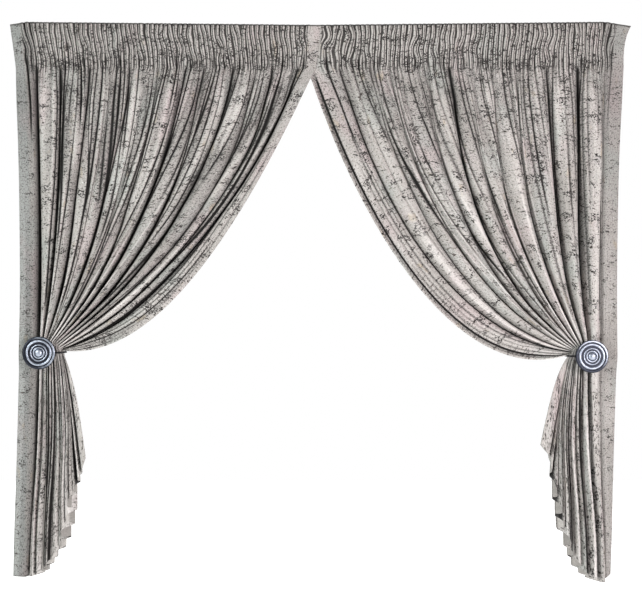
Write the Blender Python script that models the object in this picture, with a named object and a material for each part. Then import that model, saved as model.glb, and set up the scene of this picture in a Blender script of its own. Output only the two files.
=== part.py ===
"""A pair of gathered curtains, each drawn aside and held by a round holdback.

Frame: metres, +Z up, origin at the middle of the top edge. The room is on the -Y side, the wall
is the plane y = WALL, and each curtain hangs in folds about the plane y = 0.

A curtain is cut flat, CUT_WIDTH wide, and hung: every thread down the cloth keeps its own length,
so the threads that swing far aside end higher up and the hem steps up towards the leading edge.
"share" is the place across the cut width: 0 at the outer edge, 1 at the leading edge.
"""
import math

import bmesh
import bpy
import numpy as np

CUT_WIDTH = 2.0
HEADING = 0.198
CLOTH = 0.0016
PLEATS = 60
PLEAT_RELIEF = 0.0058
PLEAT_FADE = 0.14
FLAT_END = 0.029
BAND_HELD = 0.30
BAND_FREE = 0.45

FOLD_START = 0.25
FOLD_FULL = 0.55
FOLD_FILL = 0.23
RIDGE_POWER = 0.75
TAIL_LEAN = math.radians(24)
PINCH_HANDLE = 0.30
TAIL_HANDLE = 0.32
EDGE_PHASE = 0.35
COLUMN_WIDTH = 0.036
CLOTH_CREASE = math.radians(60)

WALL = 0.080
ROD_RADIUS = 0.004
ROD_CORNER = 0.014
WAIST = 0.036
WAIST_HEIGHT = 0.045
WAIST_GROWTH = 0.30
WAIST_ROUND = 0.35
GAP = 0.0003
REST = 0.0005

PLATE_RADIUS = 0.026
PLATE_THICK = 0.006
PLATE_BEVEL = 0.002
PLATE_STEPS = 24
DISC_RADIUS = 0.0735
DISC_BACK = 0.062
DISC_FACE = 0.0165
DISC_RINGS = (0.056, 0.039)
RING_LIFT = 0.0058
DISC_STEPS = 32
METAL_CREASE = math.radians(35)

# Row places down the cloth: -1 top edge, 0 foot of the heading, 1 at the holdback, 2 at the hem.
PLEAT_ROWS = (-1.0, 0.0, 0.045)
FOLD_ROWS = (
    0.10, 0.19, 0.29, 0.40, 0.51, 0.62, 0.72, 0.81, 0.885, 0.945, 1.0,
    1.035, 1.08, 1.15, 1.26, 1.40, 1.55, 1.70, 1.86, 2.0,
)

SWEEP_COLUMNS = ("share", "top_x", "head_x", "lean", "arrive", "reach", "pinch_x", "pinch_z",
                 "leave", "hem_x", "drop")
LEFT_SWEEP = (
    (0.000, -1.375, -1.348, -3.0, 2, 0.34, -1.328, -1.472, 1.6, -1.352, 2.480),
    (0.066, -1.280, -1.258, -1.0, 1, 0.34, -1.250, -1.463, 1.5, -1.280, 2.483),
    (0.150, -1.159, -1.145, -1.0, 9, 0.34, -1.226, -1.449, 1, -1.244, 2.478),
    (0.250, -1.028, -1.010, 5.0, 21, 0.34, -1.209, -1.434, -2, -1.215, 2.478),
    (0.350, -0.893, -0.884, 2.0, 31, 0.34, -1.193, -1.425, -4, -1.200, 2.485),
    (0.560, -0.605, -0.592, 10.0, 43, 0.34, -1.170, -1.429, -8, -1.125, 2.486),
    (0.735, -0.362, -0.358, 10.0, 52, 0.34, -1.156, -1.440, -12, -1.085, 2.492),
    (0.865, -0.178, -0.182, 8.0, 54, 0.34, -1.146, -1.451, -17, -1.066, 2.488),
    (0.940, -0.070, -0.079, 17.0, 68, 0.32, -1.141, -1.461, -22, -1.048, 2.492),
    (1.000, 0.029, 0.001, 25.0, 98, 0.27, -1.137, -1.468, -28, -1.031, 2.490),
)
RIGHT_SWEEP = (
    (0.000, 1.420, 1.386, 4.5, -1, 0.34, 1.352, -1.492, 1.8, 1.319, 2.470),
    (0.066, 1.289, 1.289, 1, 0, 0.34, 1.267, -1.481, 0, 1.285, 2.495),
    (0.150, 1.190, 1.195, 0, -6, 0.34, 1.233, -1.467, 0, 1.258, 2.505),
    (0.250, 1.064, 1.060, -3, -14, 0.34, 1.213, -1.451, 2, 1.222, 2.497),
    (0.350, 0.929, 0.925, -4, -24, 0.34, 1.195, -1.445, 6, 1.190, 2.495),
    (0.560, 0.641, 0.637, -8, -43, 0.34, 1.172, -1.450, 13, 1.127, 2.490),
    (0.735, 0.389, 0.394, -10, -56, 0.34, 1.160, -1.459, 19, 1.086, 2.490),
    (0.865, 0.200, 0.205, -14, -66, 0.34, 1.154, -1.467, 26, 1.062, 2.490),
    (0.940, 0.074, 0.070, -17, -86, 0.38, 1.152, -1.474, 33, 1.032, 2.487),
    (1.000, -0.034, -0.036, -17.5, -111, 0.436, 1.1505, -1.481, 43, 1.023, 2.502),
)

# Each row is one valley between two folds: its share near the heading, half way and near the
# holdback, and how deep it is there, 1 being the whole depth of its folds.
VALLEY_COLUMNS = ("high", "middle", "low", "deep_high", "deep_low")
VALLEY_ROWS = (0.10, 0.45, 0.80)
LEFT_VALLEYS = (
    (0.070, 0.068, 0.066, 0.9, 0.9),
    (0.147, 0.145, 0.150, 1.0, 1.0),
    (0.247, 0.234, 0.242, 0.8, 1.0),
    (0.320, 0.300, 0.300, 0.2, 0.6),
    (0.385, 0.357, 0.357, 0.8, 1.0),
    (0.430, 0.425, 0.445, 0.2, 0.7),
    (0.477, 0.488, 0.530, 0.6, 0.9),
    (0.567, 0.575, 0.605, 0.9, 1.0),
    (0.628, 0.664, 0.700, 0.8, 1.0),
    (0.727, 0.740, 0.785, 0.9, 1.0),
    (0.803, 0.830, 0.870, 0.6, 0.8),
    (0.857, 0.880, 0.915, 0.9, 0.9),
    (0.940, 0.935, 0.955, 0.9, 0.9),
)
RIGHT_VALLEYS = (
    (0.060, 0.060, 0.060, 0.2, 0.4),
    (0.163, 0.160, 0.175, 1.0, 1.0),
    (0.267, 0.270, 0.290, 0.8, 0.9),
    (0.370, 0.395, 0.400, 0.5, 0.9),
    (0.450, 0.490, 0.500, 0.6, 0.8),
    (0.520, 0.560, 0.580, 0.3, 0.7),
    (0.587, 0.635, 0.690, 1.0, 0.9),
    (0.667, 0.710, 0.765, 0.5, 0.8),
    (0.780, 0.810, 0.850, 0.5, 0.8),
    (0.840, 0.875, 0.905, 0.7, 0.9),
    (0.920, 0.935, 0.950, 0.7, 0.9),
)

# side: +1 where the outer edge is at -X. band: y of the flat end of the heading at the middle.
CURTAINS = {
    "left": dict(side=1, sweep=LEFT_SWEEP, valleys=LEFT_VALLEYS, band=-0.0030,
                 disc_x=-1.229, hook_x=-1.127, holdback_z=-1.477),
    "right": dict(side=-1, sweep=RIGHT_SWEEP, valleys=RIGHT_VALLEYS, band=-0.0006,
                  disc_x=1.229, hook_x=1.128, holdback_z=-1.493),
}

FINISHES = {
    "velvet": ((0.36, 0.34, 0.32, 1.0), 0.85, 0.0),
    "aged_silver": ((0.47, 0.51, 0.57, 1.0), 0.32, 0.9),
    "dark_steel": ((0.03, 0.03, 0.035, 1.0), 0.45, 0.8),
}


def columns_of(rows, names):
    """A table's columns as arrays, by name."""
    return {name: np.array([row[i] for row in rows], float) for i, name in enumerate(names)}


def smooth(value, low, high):
    """0 at or under low, 1 at or over high, with a soft start and end."""
    part = np.clip((value - low) / (high - low), 0.0, 1.0)
    return part * part * (3.0 - 2.0 * part)


def heading_of(degrees):
    """The unit (x, z) step of a thread that leans degrees from straight down, towards -X."""
    angle = np.radians(degrees)
    return np.stack([-np.sin(angle), -np.cos(angle)], -1)


def hang(curtain, share, place):
    """Where the threads lie before the folds: (x, z) and the length used, for arrays that match."""
    table = columns_of(curtain["sweep"], SWEEP_COLUMNS)
    at = {name: np.interp(share, table["share"], column) for name, column in table.items()}
    top = np.stack([at["top_x"], np.zeros_like(share)], -1)
    bend = np.stack([at["head_x"], np.full_like(share, -HEADING)], -1)
    pinch = np.stack([at["pinch_x"], at["pinch_z"]], -1)
    span = np.linalg.norm(pinch - bend, axis=-1)
    start = bend + (at["reach"] * span)[..., None] * heading_of(at["lean"])
    end = pinch - (PINCH_HANDLE * span)[..., None] * heading_of(at["arrive"])

    def sweep(part):
        part = np.asarray(part)[..., None]
        rest = 1.0 - part
        return (rest ** 3 * bend + 3 * rest * rest * part * start
                + 3 * rest * part * part * end + part ** 3 * pinch)

    steps = np.linspace(0.0, 1.0, 41)
    path = np.array([sweep(np.full(share.shape, step)) for step in steps])
    pieces = np.linalg.norm(np.diff(path, axis=0), axis=-1)
    head_length = np.linalg.norm(bend - top, axis=-1)
    swept = pieces.sum(axis=0)
    left_over = at["drop"] - head_length - swept
    across = at["hem_x"] - at["pinch_x"]
    fall = np.sqrt(np.maximum(left_over ** 2 - across ** 2, 0.0))
    hem = pinch + np.stack([across, -fall], -1)
    knee = pinch + (TAIL_HANDLE * left_over)[..., None] * heading_of(at["leave"])

    in_head = np.clip(place + 1.0, 0.0, 1.0)[..., None]
    in_tail = np.clip(place - 1.0, 0.0, 1.0)[..., None]
    free = 1.0 - in_tail
    tail = free * free * pinch + 2 * free * in_tail * knee + in_tail * in_tail * hem
    where = np.where(place[..., None] < 0.0, top + (bend - top) * in_head,
                     np.where(place[..., None] < 1.0, sweep(np.clip(place, 0.0, 1.0)), tail))
    used = (head_length * np.clip(place + 1.0, 0.0, 1.0) + swept * np.clip(place, 0.0, 1.0)
            + left_over * np.clip(place - 1.0, 0.0, 1.0))
    return where, used


def valleys_at(curtain, place):
    """The shares of a row's fold bounds, and the depth of each, outer edge to leading edge."""
    table = columns_of(curtain["valleys"], VALLEY_COLUMNS)
    tracks = np.stack([table["high"], table["middle"], table["low"]])
    shares = [np.interp(place, VALLEY_ROWS, track) for track in tracks.T]
    low = float(smooth(place, VALLEY_ROWS[0], 1.0))
    depths = table["deep_high"] + (table["deep_low"] - table["deep_high"]) * low
    return np.array([0.0, *shares, 1.0]), np.array([0.0, *depths, 0.0])


def fold_columns(curtain):
    """Fold numbers of the cloth's columns: whole numbers are the valleys."""
    bounds, _ = valleys_at(curtain, VALLEY_ROWS[1])
    numbers = [0.0]
    for fold, width in enumerate(np.diff(bounds) * CUT_WIDTH):
        count = max(4, round(width / COLUMN_WIDTH))
        numbers.extend(fold + (step + 1) / count for step in range(count))
    return np.array(numbers)


def ridge(phase):
    """Height across one fold: 0 in its valleys and 1 on its round ridge."""
    return np.sin(np.pi * np.clip(phase, 0.0, 1.0)) ** RIDGE_POWER


def fold_row(curtain, share, place):
    """The (x, y, z) places of one row of the hung cloth, for the shares across it."""
    bounds, depths = valleys_at(curtain, place)
    count = len(bounds) - 1
    rows = np.full_like(share, place)
    where, used = hang(curtain, share, rows)
    marks, _ = hang(curtain, bounds, np.full_like(bounds, place))
    above, _ = hang(curtain, bounds, np.full_like(bounds, max(place - 0.01, -1.0)))
    below, _ = hang(curtain, bounds, np.full_like(bounds, min(place + 0.01, 2.0)))
    down = below - above
    down /= np.linalg.norm(down, axis=-1)[:, None]
    step = np.diff(marks, axis=0)
    along = (down[1:] + down[:-1]) / 2
    pitch = np.abs(step[:, 0] * along[:, 1] - step[:, 1] * along[:, 0])
    flat = np.diff(bounds) * CUT_WIDTH
    seen = np.clip(pitch / flat, 0.0, 1.0)
    whole = flat.copy()
    whole[[0, -1]] /= 1.0 - EDGE_PHASE
    swell = FOLD_FILL * whole * np.sqrt(1.0 - seen ** 2)

    number = np.clip(np.searchsorted(bounds, share, side="right") - 1, 0, count - 1)
    part = (share - bounds[number]) / (bounds[number + 1] - bounds[number])
    phase = part.copy()
    phase[number == 0] = EDGE_PHASE + (1.0 - EDGE_PHASE) * part[number == 0]
    phase[number == count - 1] = (1.0 - EDGE_PHASE) * part[number == count - 1]

    from_rod = np.abs(where[:, 1] - curtain["holdback_z"])
    room = WAIST * (1.0 - WAIST_ROUND * smooth(share, 0.70, 1.0))
    room = room + WAIST_GROWTH * np.maximum(0.0, from_rod - WAIST_HEIGHT)
    top = np.minimum(swell[number], room)
    neighbour = np.where(phase < 0.5, np.maximum(number - 1, 0), np.minimum(number + 1, count - 1))
    bottom = np.minimum((swell[number] + swell[neighbour]) / 2, room)
    depth = np.where(phase < 0.5, depths[number], depths[number + 1])
    depth = np.where((number == 0) & (phase < 0.5), 1.0, depth)
    depth = np.where((number == count - 1) & (phase >= 0.5), 1.0, depth)
    low = top + (-bottom - top) * depth
    height = (low + (top - low) * ridge(phase)) * smooth(used, FOLD_START, FOLD_FULL)

    lean = np.tan(TAIL_LEAN) * smooth(place, 1.05, 1.6) * smooth(share, 0.03, 0.15)
    x = where[:, 0] - curtain["side"] * lean * height
    y = -height + pleat_relief(curtain, share, used)
    return np.stack([x, y, where[:, 1]], -1)


def pleat_relief(curtain, share, used):
    """How far the heading's pencil pleats and its flat ends stand from the middle plane."""
    across = (share - FLAT_END) / (1.0 - 2 * FLAT_END)
    pleated = smooth(np.minimum(share, 1.0 - share), 1.3 * FLAT_END, 2.0 * FLAT_END)
    fade = 1.0 - smooth(used, HEADING, HEADING + PLEAT_FADE)
    wave = -PLEAT_RELIEF * np.cos(2 * np.pi * PLEATS * across) * pleated * fade
    at_middle = smooth(share, 1.0 - 2.0 * FLAT_END, 1.0 - 1.3 * FLAT_END)
    return wave + curtain["band"] * at_middle * (1.0 - smooth(used, BAND_HELD, BAND_FREE))


def pleat_columns():
    """Shares of the heading's columns: a ridge and a valley for each pleat, and the flat ends."""
    pleated = FLAT_END + (1.0 - 2 * FLAT_END) * np.arange(2 * PLEATS + 1) / (2 * PLEATS)
    return np.array([0.0, FLAT_END / 2, *pleated, 1.0 - FLAT_END / 2, 1.0])


def flat_grid(bm, columns, rows):
    """A flat grid in share and row place, and its vertices row by row."""
    across = len(columns) - 1
    along = len(rows) - 1
    made = bmesh.ops.create_grid(bm, x_segments=across, y_segments=along, size=0.5)["verts"]
    grid = {}
    for vert in made:
        i = round((vert.co.x + 0.5) * across)
        j = round((vert.co.y + 0.5) * along)
        grid[i, j] = vert
        vert.co = (columns[i], rows[j], 0.0)
    return [[grid[i, j] for i in range(across + 1)] for j in range(along + 1)]


def join_rows(bm, upper, lower):
    """Close the strip between two rows that have different numbers of vertices."""
    i = j = 0
    while i < len(upper) - 1 or j < len(lower) - 1:
        last_upper = i == len(upper) - 1
        last_lower = j == len(lower) - 1
        step_upper = last_lower or (not last_upper and upper[i + 1].co.x <= lower[j + 1].co.x)
        if step_upper:
            bm.faces.new((upper[i], upper[i + 1], lower[j]))
            i += 1
        else:
            bm.faces.new((upper[i], lower[j + 1], lower[j]))
            j += 1


def finish(name):
    """The material of that name."""
    colour, roughness, metallic = FINISHES[name]
    material = bpy.data.materials.get(name) or bpy.data.materials.new(name)
    material.use_nodes = True
    surface = material.node_tree.nodes["Principled BSDF"]
    surface.inputs["Base Color"].default_value = colour
    surface.inputs["Roughness"].default_value = roughness
    surface.inputs["Metallic"].default_value = metallic
    return material


def add_object(name, bm, material, crease):
    """Turn a bmesh into an object of the scene."""
    mesh = bpy.data.meshes.new(name)
    bm.to_mesh(mesh)
    bm.free()
    mesh.materials.append(finish(material))
    mesh.shade_smooth()
    mesh.set_sharp_from_angle(angle=crease)
    thing = bpy.data.objects.new(name, mesh)
    bpy.context.scene.collection.objects.link(thing)
    return thing


def make_panel(name, curtain):
    """Cut one curtain flat, hang it in its folds and give it its thickness."""
    bm = bmesh.new()
    heading = flat_grid(bm, pleat_columns(), PLEAT_ROWS)
    numbers = fold_columns(curtain)
    body = flat_grid(bm, numbers, FOLD_ROWS)
    for place, row in zip(FOLD_ROWS, body):
        bounds, _ = valleys_at(curtain, place)
        for vert, share in zip(row, np.interp(numbers, np.arange(len(bounds)), bounds)):
            vert.co.x = share
    join_rows(bm, heading[-1], body[0])
    for place, row in zip(PLEAT_ROWS + FOLD_ROWS, heading + body):
        shares = np.array([vert.co.x for vert in row])
        for vert, where in zip(row, fold_row(curtain, shares, place)):
            vert.co = where
    bmesh.ops.recalc_face_normals(bm, faces=bm.faces)
    panel = add_object(name, bm, "velvet", CLOTH_CREASE)
    wall = panel.modifiers.new("cloth", "SOLIDIFY")
    wall.thickness = CLOTH
    wall.offset = 0.0
    wall.use_even_offset = False
    return panel


def turned(name, profile, steps, centre, material):
    """Turn a profile of (radius, y) points, back to front, about the Y line through centre."""
    bm = bmesh.new()
    ring = [bm.verts.new((centre[0] + radius, y, centre[1])) for radius, y in profile]
    edges = [bm.edges.new(pair) for pair in zip(ring, ring[1:])]
    bmesh.ops.spin(bm, geom=ring + edges, cent=(centre[0], 0.0, centre[1]), axis=(0, 1, 0),
                   angle=2 * math.pi, steps=steps, use_merge=True)
    bmesh.ops.remove_doubles(bm, verts=bm.verts, dist=1e-5)
    bmesh.ops.recalc_face_normals(bm, faces=bm.faces)
    return add_object(name, bm, material, METAL_CREASE)


def disc_profile():
    """Back hub, flat back, rounded rim, two rings and the centre knob, as (radius, y)."""
    back = -DISC_BACK
    face = back - DISC_FACE
    points = [(0.0, back), (0.016, back), (0.019, back - 0.006), (0.066, back - 0.008),
              (DISC_RADIUS - 0.002, back - 0.010), (DISC_RADIUS, back - 0.013),
              (DISC_RADIUS - 0.002, back - 0.017)]
    for radius in DISC_RINGS:
        points += [(radius + 0.010, face - 0.0005), (radius + 0.004, face - RING_LIFT),
                   (radius - 0.003, face - RING_LIFT), (radius - 0.007, face)]
    points += [(0.024, face - 0.004), (0.018, face - 0.002), (0.014, face - 0.008),
               (0.008, face - 0.0115), (0.0, face - 0.013)]
    return points


def rod_path(curtain):
    """The hooked rod's centre line: wall plate, round the bundle, and out to the disc."""
    x0 = curtain["disc_x"]
    x1 = curtain["hook_x"]
    reach = WAIST + CLOTH / 2 + REST + ROD_RADIUS
    corners = [(x0, WALL - PLATE_THICK - GAP), (x0, reach), (x1, reach), (x1, -reach),
               (x0, -reach), (x0, -DISC_BACK + GAP)]
    points = [corners[0]]
    for before, corner, after in zip(corners, corners[1:], corners[2:]):
        corner = np.array(corner)
        into = corner - before
        out = after - corner
        radius = min(ROD_CORNER, 0.9 * np.linalg.norm(into), 0.9 * np.linalg.norm(out))
        into = into / np.linalg.norm(into)
        out = out / np.linalg.norm(out)
        for angle in np.linspace(0.0, math.pi / 2, 5):
            points.append(corner - into * radius * (1 - math.sin(angle))
                          + out * radius * (1 - math.cos(angle)))
    points.append(corners[-1])
    return [(float(x), float(y), curtain["holdback_z"]) for x, y in points]


def make_rod(name, curtain):
    """The round dark rod, as a bevelled curve with closed ends."""
    curve = bpy.data.curves.new(name, "CURVE")
    curve.dimensions = "3D"
    curve.bevel_depth = ROD_RADIUS
    curve.bevel_resolution = 2
    curve.use_fill_caps = True
    points = rod_path(curtain)
    spline = curve.splines.new("POLY")
    spline.points.add(len(points) - 1)
    for point, where in zip(spline.points, points):
        point.co = (*where, 1.0)
    curve.materials.append(finish("dark_steel"))
    rod = bpy.data.objects.new(name, curve)
    bpy.context.scene.collection.objects.link(rod)
    return rod


def make_holdback(side, curtain):
    """The wall plate, the rod and the turned disc of one holdback."""
    centre = (curtain["disc_x"], curtain["holdback_z"])
    front = WALL - PLATE_THICK
    plate = [(0.0, WALL), (PLATE_RADIUS, WALL), (PLATE_RADIUS, front + PLATE_BEVEL),
             (PLATE_RADIUS - PLATE_BEVEL, front), (0.0, front)]
    turned(f"{side}_holdback_plate", plate, PLATE_STEPS, centre, "dark_steel")
    make_rod(f"{side}_holdback_arm", curtain)
    turned(f"{side}_holdback_disc", disc_profile(), DISC_STEPS, centre, "aged_silver")


def main():
    for thing in list(bpy.data.objects):
        bpy.data.objects.remove(thing, do_unlink=True)
    for side, curtain in CURTAINS.items():
        make_panel(f"{side}_panel", curtain)
        make_holdback(side, curtain)


main()
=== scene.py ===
"""The finish of a pair of gathered velvet curtains held aside by round turned holdbacks.

Frame: metres, +Z up, origin at the middle of the top edge, the room on the -Y side.
"share" is the place across a curtain's cut width, 0 at the outer edge and 1 at the leading edge.
"place" is the place down a thread: -1 top edge, 0 foot of the heading, 1 at the holdback, 2 at
the hem. "used" is the length of thread above a place, in metres.
"""

import math

import bmesh
import bpy
import numpy as np
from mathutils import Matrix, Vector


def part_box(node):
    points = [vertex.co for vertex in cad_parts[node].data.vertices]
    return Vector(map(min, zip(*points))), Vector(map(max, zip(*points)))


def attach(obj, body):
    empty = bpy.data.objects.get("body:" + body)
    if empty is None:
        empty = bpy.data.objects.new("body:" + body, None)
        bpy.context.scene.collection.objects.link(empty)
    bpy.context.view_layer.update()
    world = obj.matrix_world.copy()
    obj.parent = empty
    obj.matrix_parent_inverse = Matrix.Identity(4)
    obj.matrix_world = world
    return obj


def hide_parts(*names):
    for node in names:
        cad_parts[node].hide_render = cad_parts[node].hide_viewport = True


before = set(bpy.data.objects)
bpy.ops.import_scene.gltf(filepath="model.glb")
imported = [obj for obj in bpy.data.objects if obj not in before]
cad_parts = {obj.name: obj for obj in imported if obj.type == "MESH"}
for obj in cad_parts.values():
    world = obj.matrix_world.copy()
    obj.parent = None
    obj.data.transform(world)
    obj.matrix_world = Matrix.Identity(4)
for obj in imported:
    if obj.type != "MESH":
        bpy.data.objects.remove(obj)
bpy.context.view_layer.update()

# The flat cloth, the height of its gathered heading and its thickness.
CUT_WIDTH = 2.0
CUT_LENGTH = 2.49
HEADING = 0.198
CLOTH = 0.0016
# The gathering tape, its cords and the bottom hem, as lengths along the cloth.
TAPE_TOP = 0.012
TAPE_FOOT = 0.165
TAPE_CORDS = (0.030, 0.088, 0.146)
BOTTOM_HEM = 0.075
# The pleats, the columns of each, how far they stand out, and the flat ends of the heading.
PLEATS = 60
PLEAT_COLUMNS = 8
PLEAT_RELIEF = 0.0070
FLAT_END = 0.029
FLAT_COLUMNS = 12
HEADING_ROWS = 17
SWEEP_ROWS = 46
TAIL_ROWS = 33

# Where along a thread folds start and are full, and how deep one is for its width.
FOLD_START = 0.14
FOLD_FULL = 0.38
FOLD_FILL = 0.23
# The most that the cloth is drawn together in a valley.
MOST_DRAWN = 0.86
# Where in their wave the outermost folds meet the edges, and how broad their ridges are.
EDGE_PHASE = 0.35
EDGE_BLUFF = 5.0
# How much of a valley's slit shows high up, and the most of a fold that it takes.
SLIT_SHOWN = 0.38
SLIT_MOST = 0.16
SLIT_MOST_IN_TAIL = 0.09
# How far a tail's folds lean, and how much shallower they are under the holdback.
TAIL_LEAN = math.radians(24)
SHALLOW_TAIL = 0.5
# How long a thread keeps its lean at the holdback, and the steps its length is summed in.
PINCH_HANDLE = 0.30
LENGTH_STEPS = 40
# The share over which the bands at both edges join the folds.
BAND_JOIN = 0.006

CREASES = 68
CREASE_WIDTH = 0.0022
CREASE_DEPTH = 0.0110
CREASE_START = 0.12
RIB_HEIGHT = 0.0080
# A length of thread that no crease outlasts.
PAST_THE_HEM = 3.0
# Creases inside the leading band of a sweep: the share, how deep each is and where it starts.
BAND_CREASES = ((0.957, 0.8, 0.60), (0.968, 0.6, 0.60), (0.9855, 0.50, 0.60),
                (0.97825, 0.75, 1.05), (0.99275, 0.60, 1.20))
BAND_CREASE_WIDTH = 0.9

# The rod, half the depth of the bundle at it, how far from the rod that lasts, how fast the
# bundle grows past that, and how much shallower it is near the leading edge.
ROD_RADIUS = 0.004
WAIST = 0.036
WAIST_HEIGHT = 0.045
WAIST_GROWTH = 0.30
WAIST_ROUND = 0.35

# Each row is one thread: its share, its x at the top edge and at the foot of the heading, how
# far it leans there and at the holdback, in degrees, how long it keeps its first lean, its x and
# z at the holdback, how far it leans below it, its x at the hem and its whole length.
SWEEP_COLUMNS = ("share", "top_x", "head_x", "lean", "arrive", "reach", "pinch_x", "pinch_z",
                 "leave", "hem_x", "drop")
LEFT_SWEEP = (
    (0.000, -1.375, -1.348, -3.0, 2, 0.34, -1.328, -1.472, 1.6, -1.352, 2.480),
    (0.066, -1.280, -1.258, -1.0, 1, 0.34, -1.238, -1.463, 1.0, -1.280, 2.483),
    (0.150, -1.159, -1.145, -1.0, 9, 0.34, -1.226, -1.449, 1, -1.244, 2.478),
    (0.250, -1.028, -1.010, 5.0, 21, 0.34, -1.209, -1.434, -2, -1.215, 2.478),
    (0.350, -0.893, -0.884, 2.0, 31, 0.34, -1.193, -1.425, -4, -1.200, 2.485),
    (0.560, -0.605, -0.592, 10.0, 43, 0.34, -1.170, -1.429, -8, -1.132, 2.486),
    (0.735, -0.362, -0.358, 10.0, 52, 0.34, -1.156, -1.440, -11, -1.101, 2.492),
    (0.865, -0.178, -0.182, 8.0, 54, 0.34, -1.146, -1.451, -14, -1.086, 2.488),
    (0.940, -0.070, -0.079, 17.0, 68, 0.32, -1.141, -1.461, -12, -1.059, 2.470),
    (1.000, 0.029, 0.001, 25.0, 98, 0.27, -1.137, -1.468, -26, -1.028, 2.490),
)
RIGHT_SWEEP = (
    (0.000, 1.420, 1.386, 4.5, -1, 0.34, 1.352, -1.492, 1.8, 1.319, 2.470),
    (0.066, 1.289, 1.289, 1, 0, 0.34, 1.267, -1.481, 0, 1.285, 2.495),
    (0.150, 1.190, 1.195, 0, -6, 0.34, 1.233, -1.467, 0, 1.258, 2.505),
    (0.250, 1.064, 1.060, -3, -14, 0.34, 1.213, -1.451, 2, 1.222, 2.497),
    (0.350, 0.929, 0.925, -4, -24, 0.34, 1.195, -1.445, 6, 1.190, 2.495),
    (0.560, 0.641, 0.637, -8, -43, 0.34, 1.172, -1.450, 12, 1.132, 2.490),
    (0.735, 0.389, 0.394, -10, -56, 0.34, 1.160, -1.459, 17, 1.096, 2.490),
    (0.865, 0.200, 0.205, -14, -66, 0.34, 1.154, -1.467, 23, 1.075, 2.490),
    (0.940, 0.074, 0.070, -17, -86, 0.38, 1.152, -1.474, 16, 1.052, 2.440),
    (1.000, -0.034, -0.036, -17.5, -111, 0.436, 1.1505, -1.481, 66, 1.006, 2.547),
)

# Each row is one valley between two folds: its share near the heading, half way and near the
# holdback, how deep it is high up and low down, and how wide its slit is at both, in
# millimetres.
VALLEY_COLUMNS = ("high", "middle", "low", "deep_high", "deep_low", "slit_high", "slit_low")
VALLEY_ROWS = (0.10, 0.45, 0.80)
LEFT_VALLEYS = (
    (0.070, 0.068, 0.066, 0.9, 0.9, 4, 5),
    (0.147, 0.145, 0.150, 1.0, 1.0, 4, 8),
    (0.247, 0.234, 0.242, 0.8, 1.0, 6, 9),
    (0.320, 0.300, 0.300, 0.2, 0.6, 0, 2),
    (0.385, 0.357, 0.357, 0.8, 1.0, 4, 9),
    (0.430, 0.425, 0.445, 0.2, 0.7, 0, 4),
    (0.477, 0.488, 0.530, 0.6, 0.9, 3, 9),
    (0.567, 0.575, 0.605, 0.9, 1.0, 6, 10),
    (0.628, 0.664, 0.700, 0.8, 1.0, 5, 9),
    (0.727, 0.740, 0.785, 0.9, 1.0, 6, 8),
    (0.803, 0.830, 0.870, 0.6, 0.8, 3, 4),
    (0.857, 0.880, 0.915, 0.9, 0.9, 6, 6),
    (0.940, 0.935, 0.948, 0.9, 1.0, 5, 6),
)
RIGHT_VALLEYS = (
    (0.060, 0.060, 0.060, 0.2, 0.25, 0, 0),
    (0.163, 0.160, 0.175, 1.0, 1.0, 4, 8),
    (0.267, 0.270, 0.290, 0.8, 0.9, 3, 4),
    (0.370, 0.395, 0.400, 0.5, 0.9, 0, 6),
    (0.450, 0.490, 0.500, 0.6, 0.8, 2, 6),
    (0.520, 0.560, 0.580, 0.3, 0.7, 0, 4),
    (0.587, 0.635, 0.690, 1.0, 0.9, 5, 5),
    (0.667, 0.710, 0.765, 0.5, 0.8, 2, 4),
    (0.780, 0.810, 0.850, 0.5, 0.8, 2, 4),
    (0.840, 0.875, 0.905, 0.7, 0.9, 3, 4),
    (0.920, 0.935, 0.938, 0.7, 1.0, 4, 6),
)

# side: +1 where the outer edge is at -X. sweep, valleys: its threads and folds. band: y of the
# flat end of the heading at the middle. flare: how sharply the outer edge runs in at the top.
# bluff: how broad the ridges are high up and low down, and how steep their sides are. shade,
# low_shade: how narrow the painted shade of a valley is, and at the holdback. ribbing, lined,
# pleat_shade: how dark the painted shade is in the hollows between the ribs, in the creases and
# in the shut pleats. gaps: how much of its width a slit shows low down, and the most of a fold
# that it takes. lit, lip: how strong the painted highlight is on the folds at the holdback, and
# on the outer lip of each ridge. handles: how far a tail keeps its first direction, at the outer
# and the leading edge. tucked: how dark the painted shade is on the inner side of the outer band.
# skew: over 1 where the ridges lie nearer the leading edge. rolled: how far the leading edge is
# rolled back. seed: the random draws. cloth_from: where its cloth starts in the pattern. disc_x,
# holdback_z: the middle of the disc. hook_x: the far side of the rod's hook. shaded_rim_side: the
# direction in x and z of the side of the disc's rim that takes painted shade.
CURTAINS = {
    "left": dict(side=1, sweep=LEFT_SWEEP, valleys=LEFT_VALLEYS, band=-0.0030, flare=1.0,
                 bluff=(3.2, 3.2, 0.62), shade=1.4, low_shade=1.5, ribbing=0.34, lined=1.20,
                 pleat_shade=0.55, gaps=(0.62, 0.24), lit=0.18, lip=0.22,
                 handles=(0.32, 0.30), tucked=0.26, skew=1.12, rolled=0.0, seed=11,
                 cloth_from=0.0, disc_x=-1.229, hook_x=-1.127, holdback_z=-1.477,
                 shaded_rim_side=(-0.98, -0.20)),
    "right": dict(side=-1, sweep=RIGHT_SWEEP, valleys=RIGHT_VALLEYS, band=-0.0006, flare=3.0,
                  bluff=(3.0, 1.8, 0.80), shade=3.0, low_shade=2.4, ribbing=0.20, lined=0.80,
                  pleat_shade=0.34, gaps=(0.38, 0.21), lit=0.50, lip=0.42,
                  handles=(0.32, 0.17), tucked=0.0, skew=0.86, rolled=0.012, seed=29,
                  cloth_from=3.0, disc_x=1.229, hook_x=1.128, holdback_z=-1.493,
                  shaded_rim_side=(-0.50, -0.86)),
}

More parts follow.
